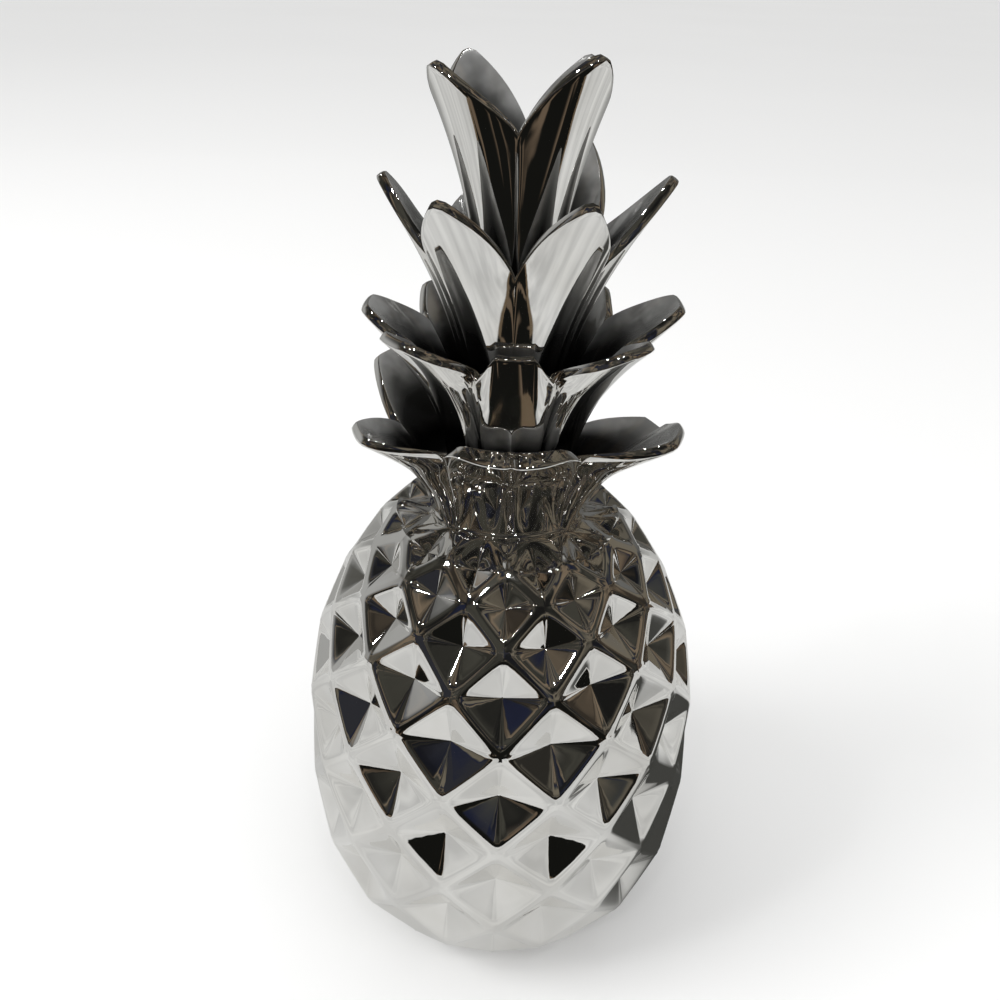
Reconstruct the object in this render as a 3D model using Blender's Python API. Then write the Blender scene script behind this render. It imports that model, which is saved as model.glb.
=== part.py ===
"""Decorative pineapple ornament, cast in one piece and silvered all over.

The fruit is a full, slightly bottom-heavy body covered with sunken diamond cells
between thin raised ridges. A bead and a short fluted collar carry the crown: four
tiers of thick, pointed leaves, each tier a flared cup with a deep notch between
neighbouring leaves. +Z is up, the best-seen side faces -Y, and the ornament stands
on a flat foot centred on the origin.
"""
import math
from collections import namedtuple

import bmesh
import bpy
from mathutils import Vector

# Sizes in metres. Most of them are shares of UNIT.
UNIT = 0.072

# The fruit: a half ellipse for the shoulder over a fuller skirt.
FRUIT_HALF_WIDTH = 1.01 * UNIT
BELLY_HEIGHT = 1.147 * UNIT
SHOULDER_RISE = 1.36 * UNIT
SKIRT_DROP = 1.19 * UNIT
SKIRT_FULLNESS = 3.4

# The net of cells, walked up and down from one row of crossings above the belly.
COLUMNS = 12
FIRST_CROSSING = math.radians(19.3)
CELL_STEP = 0.265
ROWS_ABOVE = 6
ROWS_BELOW = 8
WALK_STEP = math.radians(0.02)
RIDGE_HALF_WIDTH = 0.019 * UNIT
RIDGE_FALL = 0.009 * UNIT
CELL_DEPTH = 0.058 * UNIT

# The last two rows lie on the nearly level top, as half width and height above the foot. The
# cells beside the collar are shallower, row by row.
TOP_ROWS = ((0.37 * UNIT, 2.295 * UNIT), (0.25 * UNIT, 2.29 * UNIT))
TOP_DEPTHS = (0.65, 0.3, 0.12)

# The collar and the stem that the leaves grow from, as half width and height above the foot.
STEM_SIDES = 32
BEAD_RADIUS = 0.018 * UNIT
BEAD_SEAT = (0.357 * UNIT, 2.305 * UNIT)
BEAD_STEPS = 6
BEAD_START = math.radians(-60.0)
BEAD_SWEEP = math.radians(150.0)
STEM = (
    (0.28 * UNIT, 2.07 * UNIT),
    (0.28 * UNIT, 2.45 * UNIT),
    (0.27 * UNIT, 2.60 * UNIT),
    (0.22 * UNIT, 3.00 * UNIT),
    (0.16 * UNIT, 3.38 * UNIT),
    (0.17 * UNIT, 3.74 * UNIT),
)

# The collar is oval: it is narrower from front to back than across. On the fruit's top the
# narrowing grows from one half width in to another, above the seat it ends at a height.
OVAL_NARROWING = 0.25
OVAL_FRUIT = (0.549 * UNIT, 0.37 * UNIT)
OVAL_START = 1.5 * UNIT
OVAL_SEAT = 2.36 * UNIT
OVAL_LEAVES = (2.84 * UNIT, 2.58 * UNIT)

# A leaf, in degrees and shares of UNIT: its turn about the axis from the front, how far its
# tip stands above the tier's tip height, and how far it reaches beside the tier's reach. Its
# blunt is given where its end has another shape than the tier's.
Leaf = namedtuple("Leaf", "turn rise stretch blunt", defaults=(None,))

# A tier of leaves, in shares of UNIT. reach is the half width at the tips of the side leaves,
# and squash the share by which the front and back ones reach less. lean places the bend of a
# leaf between its root and tip: front_lean is the one at the front and quarter_lean the one
# halfway between front and side, where they differ. notch is the share of a leaf's length that
# is joined to its neighbours, front_notch the one at the front, and joined has that of single
# seams by the turn of the leaf before them. floor is where the gap behind a leaf ends. curl is
# how far its edges stand in from its middle, and root_curl the share of it at the root. blunt
# and cut shape the free end. press is the share by which the tier stands out less at the front
# and the back, and the power by which that fades to the sides. mixing is the power by which
# neighbours' reaches blend towards a seam. flatness makes the roots flat across rather than
# round. pinch is the share by which the quarter seams reach less.
Tier = namedtuple(
    "Tier",
    "leaves reach squash tip_height root_radius root_height lean notch floor curl blunt cut "
    "front_notch joined press front_lean quarter_lean root_curl mixing flatness pinch",
    defaults=(None, (), (0.0, 8.0), None, None, 0.35, 3.0, 0.0, 0.0),
)
TIERS = (
    Tier(
        leaves=(
            Leaf(-19, 0.0, 0.90, (3.0, 1.5)), Leaf(20, 0.0, 0.90, (3.0, 1.5)), Leaf(69, 0.03, 1.0),
            Leaf(112, -0.17, 0.97), Leaf(158, 0.0, 1.0), Leaf(-160, 0.0, 1.0),
            Leaf(-121, 0.12, 0.96), Leaf(-69, -0.01, 0.925),
        ),
        reach=0.82, squash=0.48, tip_height=2.81, root_radius=0.355, root_height=2.22,
        lean=(0.034, 0.536), notch=0.68, floor=0.52, curl=0.035, blunt=(2.0, 1.5), cut=1.12,
        front_notch=0.93, joined=((69, 0.96),), front_lean=(-0.10, 0.62),
        quarter_lean=(0.034, 0.45), root_curl=1.0, flatness=1.0, pinch=0.22,
    ),
    Tier(
        leaves=(
            Leaf(1, -0.11, 0.92, (5.0, 1.0)), Leaf(50, -0.01, 1.02), Leaf(90, 0.045, 1.0),
            Leaf(133, 0.01, 0.83), Leaf(180, 0.0, 0.97), Leaf(-133, 0.0, 0.83),
            Leaf(-90, 0.0, 0.91), Leaf(-50, -0.01, 0.99),
        ),
        reach=0.76, squash=0.53, tip_height=3.33, root_radius=0.30, root_height=2.60,
        lean=(0.12, 0.55), notch=0.74, floor=0.36, curl=0.06, blunt=(2.4, 1.7), cut=1.12,
        mixing=8.0, flatness=1.0,
    ),
    Tier(
        leaves=(
            Leaf(-36, -0.03, 1.165), Leaf(32, -0.02, 1.23), Leaf(87, 0.013, 0.99, (1.3, 1.5)),
            Leaf(146, 0.07, 1.22), Leaf(-160, -0.15, 1.75), Leaf(-91, -0.02, 0.91, (1.3, 1.5)),
        ),
        reach=0.68, squash=0.32, tip_height=3.94, root_radius=0.23, root_height=3.00,
        lean=(0.22, 0.50), notch=0.58, floor=0.40, curl=0.06, blunt=(1.2, 1.3), cut=1.04,
        front_notch=0.54, press=(0.85, 6.0), front_lean=(0.20, 0.55),
    ),
    Tier(
        leaves=(
            Leaf(-61, 0.0, 1.05), Leaf(50, 0.05, 1.04), Leaf(132, 0.0, 1.09),
            Leaf(-141, 0.0, 1.18),
        ),
        reach=0.42, squash=0.0, tip_height=4.41, root_radius=0.17, root_height=3.38,
        lean=(0.17, 0.55), notch=0.69, floor=0.42, curl=0.045, blunt=(1.1, 1.25), cut=1.06,
        press=(0.7, 4.0),
    ),
)
LEAF_THICKNESS = 0.045 * UNIT
LEAF_COLUMNS = 8
OUTER_STEPS = 5
INNER_STEPS = 3
ROOT_INSET = 0.13 * UNIT
CURL_POWER = 3.0
RIM_LIFT = LEAF_THICKNESS / 2.0
RIM_STAND = LEAF_THICKNESS / 3.0
RIM_STEP = 0.98
WELD = 0.00002
SMOOTH_ANGLE = math.radians(25.0)

SILVER = (0.82, 0.81, 0.79, 1.0)
NODE = "pineapple"


def fruit_point(latitude):
    """Half width and height of the fruit at a latitude, which is nought at the belly."""
    if latitude >= 0.0:
        return FRUIT_HALF_WIDTH * math.cos(latitude), BELLY_HEIGHT + SHOULDER_RISE * math.sin(latitude)
    power = 2.0 / SKIRT_FULLNESS
    return (
        FRUIT_HALF_WIDTH * math.cos(latitude) ** power,
        BELLY_HEIGHT - SKIRT_DROP * math.sin(-latitude) ** power,
    )


def walk_rows(direction, count):
    """Rows of crossings met going one way from the first, a set share of the width apart."""
    rows = []
    latitude = FIRST_CROSSING
    here = start = fruit_point(latitude)
    travelled = 0.0
    while len(rows) < count:
        latitude += direction * WALK_STEP
        there = fruit_point(latitude)
        travelled += math.dist(here, there)
        here = there
        if travelled >= CELL_STEP * (start[0] + here[0]) / 2.0:
            rows.append(here)
            start = here
            travelled = 0.0
    return rows


def crossing_rows():
    """All rows of crossings from the foot to the collar, as half width and height."""
    above = walk_rows(1, ROWS_ABOVE)
    below = walk_rows(-1, ROWS_BELOW)
    rows = below[::-1] + [fruit_point(FIRST_CROSSING)] + above
    foot_height = rows[0][1]
    rows[-len(TOP_ROWS):] = [(radius, height + foot_height) for radius, height in TOP_ROWS]
    return rows


def around(radius, turn, height):
    """A point at a half width, a turn from the front in radians and a height."""
    return Vector((radius * math.sin(turn), -radius * math.cos(turn), height))


def silvered():
    """The mirror-bright silver of the whole ornament."""
    material = bpy.data.materials.new("silver")
    material.use_nodes = True
    shader = material.node_tree.nodes["Principled BSDF"]
    shader.inputs["Base Color"].default_value = SILVER
    shader.inputs["Metallic"].default_value = 1.0
    shader.inputs["Roughness"].default_value = 0.06
    material.diffuse_color = SILVER
    return material


def new_object(name, mesh, collection):
    """An object for a built mesh, in a collection."""
    data = bpy.data.meshes.new(name)
    bmesh.ops.recalc_face_normals(mesh, faces=mesh.faces)
    mesh.to_mesh(data)
    mesh.free()
    made = bpy.data.objects.new(name, data)
    collection.objects.link(made)
    return made


def build_fruit(collection):
    """The fruit: a net of sunken diamond cells between ridges, closed above and below."""
    rows = crossing_rows()
    foot_height = rows[0][1]
    bands = (len(rows) - 1) // 2
    mesh = bmesh.new()
    bmesh.ops.create_grid(mesh, x_segments=COLUMNS, y_segments=bands, size=1.0)
    for vertex in mesh.verts:
        turn = math.pi * vertex.co.x
        radius, height = rows[2 * round((vertex.co.y + 1.0) / 2.0 * bands)]
        vertex.co = around(radius, turn, height - foot_height)
    bmesh.ops.remove_doubles(mesh, verts=mesh.verts, dist=WELD)

    # The middle of each square of the grid becomes a crossing of the rows between.
    square_edges = [edge for edge in mesh.edges if not edge.is_boundary]
    heights = sorted({round(vertex.co.z, 6) for vertex in mesh.verts})
    middles = bmesh.ops.poke(mesh, faces=mesh.faces)["verts"]
    for vertex in middles:
        band = sum(1 for height in heights if height < vertex.co.z) - 1
        radius, height = rows[2 * band + 1]
        turn = math.atan2(vertex.co.x, -vertex.co.y)
        vertex.co = around(radius, turn, height - foot_height)
    bmesh.ops.dissolve_edges(mesh, edges=square_edges, use_verts=False)

    # Each whole diamond gets its share of the ridge and a sunken middle.
    cells = [face for face in mesh.faces if len(face.verts) == 4]
    bmesh.ops.recalc_face_normals(mesh, faces=mesh.faces)
    bmesh.ops.inset_individual(
        mesh, faces=cells, thickness=RIDGE_HALF_WIDTH, depth=-RIDGE_FALL, use_even_offset=True
    )
    cell_rows = {}
    for cell in cells:
        cell_rows.setdefault(round(cell.calc_center_median().z, 5), []).append(cell)
    shares = [1.0] * (len(cell_rows) - len(TOP_DEPTHS)) + list(TOP_DEPTHS)
    for height, share in zip(sorted(cell_rows), shares):
        bmesh.ops.poke(mesh, faces=cell_rows[height], offset=-CELL_DEPTH * share)
    bmesh.ops.holes_fill(mesh, edges=[edge for edge in mesh.edges if edge.is_boundary])
    return new_object(NODE, mesh, collection), foot_height


def lathe(name, outline, collection):
    """A closed round solid from half widths and heights, listed from bottom to top."""
    mesh = bmesh.new()
    points = [Vector((0.0, 0.0, outline[0][1]))]
    points += [Vector((radius, 0.0, height)) for radius, height in outline]
    points.append(Vector((0.0, 0.0, outline[-1][1])))
    corners = [mesh.verts.new(point) for point in points]
    for first, second in zip(corners, corners[1:]):
        mesh.edges.new((first, second))
    bmesh.ops.spin(
        mesh, geom=mesh.verts[:] + mesh.edges[:], cent=(0.0, 0.0, 0.0), axis=(0.0, 0.0, 1.0),
        angle=math.tau, steps=STEM_SIDES, use_merge=True
    )
    bmesh.ops.remove_doubles(mesh, verts=mesh.verts, dist=WELD)
    return new_object(name, mesh, collection)


def collar_outline():
    """The stem from inside the fruit to the top tier, with the bead round its foot."""
    seat_radius, seat_height = BEAD_SEAT
    bead = []
    for step in range(BEAD_STEPS + 1):
        turn = BEAD_START + BEAD_SWEEP * step / BEAD_STEPS
        bead.append((
            seat_radius + BEAD_RADIUS * math.cos(turn),
            seat_height + BEAD_RADIUS * math.sin(turn),
        ))
    return [STEM[0]] + bead + list(STEM[1:])


def blend(start, bend, end, share):
    """A point and its direction on the curve from start to end drawn towards bend."""
    back = 1.0 - share
    point = [
        back * back * a + 2.0 * back * share * b + share * share * c
        for a, b, c in zip(start, bend, end)
    ]
    way = [
        2.0 * back * (b - a) + 2.0 * share * (c - b) for a, b, c in zip(start, bend, end)
    ]
    length = math.hypot(*way)
    return point, (way[0] / length, way[1] / length)


def faces_front(turn):
    """How much a turn in degrees faces the front, from 0 to 1."""
    return max(0.0, math.cos(math.radians(turn))) ** 2


def near_quarter(facing):
    """How near a line is to the quarter between front and side, from 0 to 1."""
    return (4.0 * facing * (1.0 - facing)) ** 2


def between(first, second, share):
    """A pair of numbers a share of the way from one pair to another."""
    return [(1.0 - share) * a + share * b for a, b in zip(first, second)]


def tip_of(tier, leaf):
    """Half width and height of a leaf's tip, in shares of UNIT."""
    reach = tier.reach * (1.0 - tier.squash * math.cos(math.radians(leaf.turn)) ** 4)
    return leaf.stretch * reach, tier.tip_height + leaf.rise


def bend_of(tier, tip, facing):
    """Where the bend of a line of a leaf lies, as half width and height."""
    lean = between(tier.lean, tier.front_lean or tier.lean, facing)
    lean = between(lean, tier.quarter_lean or lean, near_quarter(facing))
    root = (tier.root_radius, tier.root_height)
    return [a + share * (b - a) for a, b, share in zip(root, tip, lean)]


def notch_at(tier, before, seam):
    """How far up a seam its two leaves are joined.

    before is the turn of the leaf before the seam and seam its own turn, in degrees.
    """
    front = tier.front_notch or tier.notch
    usual = tier.notch + (front - tier.notch) * faces_front(seam)
    return dict(tier.joined).get(before, usual)


def leaf_point(tier, line, across, share, lift):
    """A point of a leaf.

    line holds the tips of the leaf and of the neighbour on this side, how far they are joined,
    how much the line faces the front, and the angle from the leaf's middle to the seam in
    degrees. across runs from -1 to 1 between the seams, share is the distance along the leaf
    from its root, and lift is the height above the outer face, towards the axis. Returns the
    turn away from the leaf's middle as a share of that angle, and the half width and height.
    """
    tips, notch, facing, half = line
    weight = abs(across) ** tier.mixing
    tip = between(*tips, weight / 2.0)
    tip[0] *= 1.0 - weight * tier.pinch * near_quarter(facing)
    root = (tier.root_radius, tier.root_height)
    bend = bend_of(tier, tip, facing)
    (radius, height), (out, up) = blend(root, bend, tip, share)
    notch_radius = blend(root, bend, tip, notch)[0][0]
    ramp = tier.root_curl + (1.0 - tier.root_curl) * min(1.0, 2.0 * share)
    inward = tier.curl * abs(across) ** CURL_POWER * ramp + lift / UNIT
    turn = across * min(radius, notch_radius) / radius
    corner = 1.0 / math.cos(math.radians(half) * turn) - 1.0
    flat = 1.0 + tier.flatness * corner * (1.0 - share ** 4)
    return turn, (radius - up * inward) * flat * UNIT, (height + out * inward) * UNIT


def leaf_section(tier, blunt, line, across):
    """The closed section of a leaf at one place across it, from its root round and back."""
    power, root = blunt
    notch = line[1]
    free = min(1.0, tier.cut * max(0.0, 1.0 - abs(across) ** power)) ** (1.0 / root)
    edge = notch + (1.0 - notch) * free
    section = [
        leaf_point(tier, line, across, edge * step / OUTER_STEPS, 0.0)
        for step in range(OUTER_STEPS + 1)
    ]
    crest = leaf_point(tier, line, across, edge, RIM_LIFT)
    below = leaf_point(tier, line, across, RIM_STEP * edge, RIM_LIFT)
    length = math.dist(crest[1:], below[1:])
    section.append((
        crest[0],
        crest[1] + (crest[1] - below[1]) / length * RIM_STAND,
        crest[2] + (crest[2] - below[2]) / length * RIM_STAND,
    ))
    for step in range(INNER_STEPS + 1):
        share = edge + (tier.floor - edge) * step / INNER_STEPS
        section.append(leaf_point(tier, line, across, share, LEAF_THICKNESS))
    inner_root = tier.root_radius * UNIT - ROOT_INSET
    section.append((across, inner_root, tier.root_height * UNIT))
    return section


def pressed_point(tier, radius, turn, height):
    """A leaf's point in space, where the tier stands out less at the front and the back."""
    share, power = tier.press
    radius -= max(0.0, radius - tier.root_radius * UNIT) * share * abs(math.cos(turn)) ** power
    return around(radius, turn, height)


def build_tier(name, tier, collection):
    """A tier of leaves: a flared cup, made from a grid wrapped round its section."""
    leaves = sorted(tier.leaves, key=lambda leaf: leaf.turn % 360)
    count = len(leaves)
    rings = OUTER_STEPS + INNER_STEPS + 4
    mesh = bmesh.new()
    bmesh.ops.create_grid(mesh, x_segments=count * LEAF_COLUMNS, y_segments=rings, size=1.0)
    sections = {}
    for column in range(count * LEAF_COLUMNS + 1):
        number = column // LEAF_COLUMNS % count
        across = math.sin(math.pi * (column % LEAF_COLUMNS / LEAF_COLUMNS - 0.5))
        leaf = leaves[number]
        side = 1 if across > 0.0 else -1
        other = leaves[(number + side) % count]
        half = ((other.turn - leaf.turn) * side % 360) / 2.0
        before = leaf.turn if side > 0 else other.turn
        notch = notch_at(tier, before, leaf.turn + side * half)
        tips = (tip_of(tier, leaf), tip_of(tier, other))
        line = (tips, notch, faces_front(leaf.turn + across * half), half)
        sections[column] = [
            pressed_point(tier, radius, math.radians(leaf.turn + turn * half), height)
            for turn, radius, height in leaf_section(tier, leaf.blunt or tier.blunt, line, across)
        ]
    for vertex in mesh.verts:
        column = round((vertex.co.x + 1.0) / 2.0 * count * LEAF_COLUMNS)
        ring = round((vertex.co.y + 1.0) / 2.0 * rings) % rings
        vertex.co = sections[column][ring]
    bmesh.ops.remove_doubles(mesh, verts=mesh.verts, dist=WELD)
    return new_object(name, mesh, collection)


def soft_step(value, low, high):
    """A soft step from 0 to 1 as a value goes from low to high."""
    share = min(1.0, max(0.0, (value - low) / (high - low)))
    return share * share * (3.0 - 2.0 * share)


def squeeze_collar(body):
    """Makes the fruit's top, the collar and the roots of the lowest leaves oval."""
    for vertex in body.data.vertices:
        if vertex.co.z < OVAL_START:
            continue
        if vertex.co.z < OVAL_SEAT:
            share = soft_step(math.hypot(vertex.co.x, vertex.co.y), *OVAL_FRUIT)
        else:
            share = soft_step(vertex.co.z, *OVAL_LEAVES)
        vertex.co.y *= 1.0 - OVAL_NARROWING * share


def unite(target, other):
    """Joins another solid into the target and removes it."""
    union = target.modifiers.new("join", "BOOLEAN")
    union.operation = "UNION"
    union.solver = "EXACT"
    union.object = other
    bpy.context.view_layer.objects.active = target
    bpy.ops.object.modifier_apply(modifier=union.name)
    bpy.data.objects.remove(other, do_unlink=True)


def main():
    """Builds the ornament as one solid."""
    for existing in list(bpy.data.objects):
        bpy.data.objects.remove(existing, do_unlink=True)
    collection = bpy.data.collections.new("decorative_pineapple")
    bpy.context.scene.collection.children.link(collection)

    body, foot_height = build_fruit(collection)
    unite(body, lathe("stem", collar_outline(), collection))
    for number, tier in enumerate(TIERS):
        unite(body, build_tier(f"tier_{number + 1}", tier, collection))
    squeeze_collar(body)
    body.data.materials.append(silvered())
    body.data.shade_smooth()
    body.data.set_sharp_from_angle(angle=SMOOTH_ANGLE)


main()
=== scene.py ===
"""Silvered pineapple ornament: the finished look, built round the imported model.

One cast piece stands in the scene, mirror silver all over: a fruit with a net of sunken
diamond cells, a bead and a short collar, and a crown of four tiers of thick leaves.
"""

import logging
import math
from collections.abc import Sequence
from dataclasses import dataclass, field
from enum import Enum

import bpy
from mathutils import Matrix, Vector


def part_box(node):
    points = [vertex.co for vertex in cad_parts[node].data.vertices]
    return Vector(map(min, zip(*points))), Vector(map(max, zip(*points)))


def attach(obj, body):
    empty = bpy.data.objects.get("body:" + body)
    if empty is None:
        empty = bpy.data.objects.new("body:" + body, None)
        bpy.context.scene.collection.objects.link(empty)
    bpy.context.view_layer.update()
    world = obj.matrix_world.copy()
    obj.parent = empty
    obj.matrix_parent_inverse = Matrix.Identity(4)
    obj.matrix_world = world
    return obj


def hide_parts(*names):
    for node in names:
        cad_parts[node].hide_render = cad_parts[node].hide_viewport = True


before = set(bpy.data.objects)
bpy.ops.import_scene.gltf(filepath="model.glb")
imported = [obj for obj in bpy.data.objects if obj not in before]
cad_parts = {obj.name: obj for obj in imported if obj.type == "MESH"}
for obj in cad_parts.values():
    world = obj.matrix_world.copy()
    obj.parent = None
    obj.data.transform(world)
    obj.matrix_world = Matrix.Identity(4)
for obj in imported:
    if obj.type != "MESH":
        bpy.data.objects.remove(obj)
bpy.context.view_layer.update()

LOG = logging.getLogger("pineapple")
NODE = "pineapple"
BODY = "root"
INSIDE = "inside"  # the attribute that marks the leaves' inner faces
INSIDE_RIM = 0.3  # its value along the rim, from where it rises to 1 at the hollow's end, which sets the painted shade

Colour = tuple[float, float, float, float]
Flat = tuple[float, float]
Triple = tuple[float, float, float]
Stop = tuple[float, Colour]


class CellPart(Enum):
    """How much of a diamond cell is made: its four facets run left, top, right, bottom."""

    WHOLE = (0, 1, 2, 3)
    UPPER = (0, 1)
    LOWER = (2, 3)


class Seen(Enum):
    """Which rays meet a thing of the studio."""

    BY_CAMERA = "camera"
    BY_MIRROR = "mirror"


class Number:
    """A value that varies over a surface, with the usual arithmetic."""

    def __init__(self, graph: "Graph", socket: bpy.types.NodeSocket) -> None:
        """Keeps the graph and the socket that the value comes from."""
        self.graph = graph
        self.socket = socket

    def combine(self, operation: str, first: object, second: object) -> "Number":
        """Joins two values, each a number or a Number, by one Math node."""
        node = self.graph.node("ShaderNodeMath", {"operation": operation}, {0: first, 1: second})
        return Number(self.graph, node.outputs[0])

    def __add__(self, other: object) -> "Number":
        """This value plus another."""
        return self.combine("ADD", self, other)

    __radd__ = __add__

    def __sub__(self, other: object) -> "Number":
        """This value minus another."""
        return self.combine("SUBTRACT", self, other)

    def __rsub__(self, other: object) -> "Number":
        """Another value minus this one."""
        return self.combine("SUBTRACT", other, self)

    def __mul__(self, other: object) -> "Number":
        """This value times another."""
        return self.combine("MULTIPLY", self, other)

    __rmul__ = __mul__


class Graph:
    """The nodes of one material or of the world."""

    def __init__(self, tree: bpy.types.NodeTree) -> None:
        """Starts from an empty tree."""
        self.tree = tree
        tree.nodes.clear()

    @classmethod
    def of_material(cls, name: str) -> tuple[bpy.types.Material, "Graph"]:
        """Starts a material.

        Args:
            name: The material's name.

        Returns:
            The material and its empty graph.
        """
        made = bpy.data.materials.new(name)
        made.use_nodes = True
        return made, cls(made.node_tree)

    def node(
        self, kind: str, settings: dict[str, object] | None = None, inputs: dict | None = None
    ) -> bpy.types.Node:
        """Adds a node, sets it up and feeds it.

        Args:
            kind: The node's type.
            settings: Its properties, and under "stops" the places and colours of a ramp.
            inputs: Socket names or numbers with a value, a Number or another socket.

        Returns:
            The node.
        """
        made = self.tree.nodes.new(kind)
        for name, value in (settings or {}).items():
            if name == "stops":
                self.set_stops(made.color_ramp, value)
            else:
                setattr(made, name, value)
        for name, value in (inputs or {}).items():
            if isinstance(value, Number):
                value = value.socket
            if isinstance(value, bpy.types.NodeSocket):
                self.tree.links.new(value, made.inputs[name])
            else:
                made.inputs[name].default_value = value
        return made

    @staticmethod
    def set_stops(ramp: bpy.types.ColorRamp, stops: Sequence[Stop]) -> None:
        """Gives a colour ramp its stops.

        Args:
            ramp: The ramp, which has two stops when new.
            stops: Places from 0 to 1 with their colours, in rising order.
        """
        while len(ramp.elements) < len(stops):
            ramp.elements.new(1.0)
        for element, (place, colour) in zip(ramp.elements, stops):
            element.position = place
            element.color = colour

    def noise(self, where: bpy.types.NodeSocket, scale: float, detail: float = 2.0) -> Number:
        """Smooth noise, about 0.5 on average: scale is its waves in a metre."""
        sockets = {"Vector": where, "Scale": scale, "Detail": detail}
        return Number(self, self.node("ShaderNodeTexNoise", {}, sockets).outputs["Fac"])

    def rise(self, amount: Number, low: float, high: float) -> Number:
        """A soft step from 0 to 1.

        Args:
            amount: The value that is looked at.
            low: Where the step starts.
            high: Where it ends.

        Returns:
            The step.
        """
        made = self.node(
            "ShaderNodeMapRange", {"interpolation_type": "SMOOTHSTEP"},
            {"Value": amount, "From Min": low, "From Max": high}
        )
        return Number(self, made.outputs["Result"])

    def ramp(self, amount: Number, stops: Sequence[Stop]) -> bpy.types.NodeSocket:
        """Turns a value into a colour by a ramp and returns the colour's socket."""
        made = self.node("ShaderNodeValToRGB", {"stops": stops}, {"Fac": amount})
        return made.outputs["Color"]

    def blend(self, share: Number, first: object, second: object) -> bpy.types.NodeSocket:
        """Mixes two colours or their sockets: the second shows by its share."""
        made = self.node("ShaderNodeMix", {"data_type": "RGBA"}, {0: share, 6: first, 7: second})
        return made.outputs[2]

    def place(self) -> bpy.types.NodeSocket:
        """The place on the surface, in metres, in the piece's own frame."""
        return self.node("ShaderNodeTexCoord").outputs["Object"]

    def axes(self, where: bpy.types.NodeSocket) -> list[Number]:
        """The X, Y and Z parts of a place or direction."""
        made = self.node("ShaderNodeSeparateXYZ", {}, {0: where})
        return [Number(self, part) for part in made.outputs]

    def surface(self, values: dict[str, object]) -> None:
        """Ends a material in a Principled shader with these values."""
        shader = self.node("ShaderNodeBsdfPrincipled", {}, values)
        self.node("ShaderNodeOutputMaterial", {}, {"Surface": shader.outputs["BSDF"]})


@dataclass(frozen=True)
class MirrorSilver:
    """Silver plated over a glazed body: mirror bright outside, duller on the leaves' inner faces.

    There painted shade darkens the plating to near black towards the hollow's end.
    """

    bright: Colour = (0.93, 0.925, 0.91, 1.0)
    worn: Colour = (0.84, 0.83, 0.805, 1.0)
    # painted shade: the inner faces' colour by depth, darkening to near black at the hollow's end
    painted_hollow_shade: tuple[Stop, ...] = (
        (0.0, (0.40, 0.40, 0.39, 1.0)), (0.3, (0.15, 0.15, 0.145, 1.0)),
        (0.65, (0.02, 0.02, 0.02, 1.0)), (1.0, (0.004, 0.004, 0.004, 1.0)),
    )
    smudge: Colour = (0.80, 0.80, 0.79, 1.0)
    smudge_scale: float = 55.0
    smudge_detail: float = 3.0
    smudge_edge: Flat = (0.42, 0.66)
    smudge_depth: float = 0.6
    smudge_share: float = 0.7
    polish: float = 0.02
    polish_spread: float = 0.02
    hollow_polish: float = 0.12
    hollow_milk: float = 0.4
    cloud_scale: float = 45.0
    cloud_detail: float = 3.0
    cloud_edge: Flat = (0.35, 0.7)
    wave_scale: float = 32.0
    wave_height: float = 0.0003
    ripple_scale: float = 110.0
    ripple_height: float = 0.000012
    wave_detail: float = 1.0

    def material(self) -> bpy.types.Material:
        """Makes the plating, which reads the attribute that marks the leaves' inner faces.

        The attribute's rise towards the hollow's end sets the painted shade there.

        Returns:
            The material.
        """
        made, graph = Graph.of_material("mirror_silver")
        where = graph.place()
        marked = graph.node("ShaderNodeAttribute", {"attribute_name": INSIDE})
        depth = Number(graph, marked.outputs["Fac"])
        inside = graph.rise(depth, 0.0, INSIDE_RIM)
        sunk = graph.rise(depth, INSIDE_RIM, 1.0)
        smudges = graph.noise(where, self.smudge_scale, self.smudge_detail)
        smudges = graph.rise(smudges, *self.smudge_edge)
        # inner faces: painted shade that darkens with depth, with lighter smudges that fade out
        # deep down
        painted_hollow_shade = graph.blend(
            smudges * (1.0 - graph.rise(sunk, 0.0, self.smudge_depth)) * self.smudge_share,
            graph.ramp(sunk, self.painted_hollow_shade), self.smudge
        )
        cloud = graph.noise(where, self.cloud_scale, self.cloud_detail)
        plating = graph.ramp(cloud, list(zip(self.cloud_edge, (self.bright, self.worn))))
        waves = graph.noise(where, self.wave_scale, self.wave_detail)
        ripples = graph.noise(where, self.ripple_scale, self.wave_detail)
        height = waves * self.wave_height + ripples * self.ripple_height
        bump = graph.node("ShaderNodeBump", {}, {"Height": height, "Distance": 1.0})
        graph.surface({
            "Base Color": graph.blend(inside, plating, painted_hollow_shade),
            "Metallic": 1.0 - inside * self.hollow_milk,
            "Roughness": cloud * self.polish_spread + self.polish + inside * self.hollow_polish,
            "Normal": bump.outputs["Normal"],
        })
        return made


@dataclass(frozen=True)
class PaleFloor:
    """The plain pale floor, with a trace of unevenness."""

    light: Colour = (0.86, 0.86, 0.855, 1.0)
    shade: Colour = (0.845, 0.845, 0.84, 1.0)
    patch_scale: float = 0.8
    patch_edge: Flat = (0.3, 0.7)

    def material(self) -> bpy.types.Material:
        """Makes the floor's matt paint.

        Returns:
            The material.
        """
        made, graph = Graph.of_material("pale_floor")
        patches = graph.noise(graph.place(), self.patch_scale)
        graph.surface({
            "Base Color": graph.ramp(patches, list(zip(self.patch_edge, (self.light, self.shade)))),
            "Roughness": 0.9,
            "Specular IOR Level": 0.1,
        })
        return made


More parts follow.
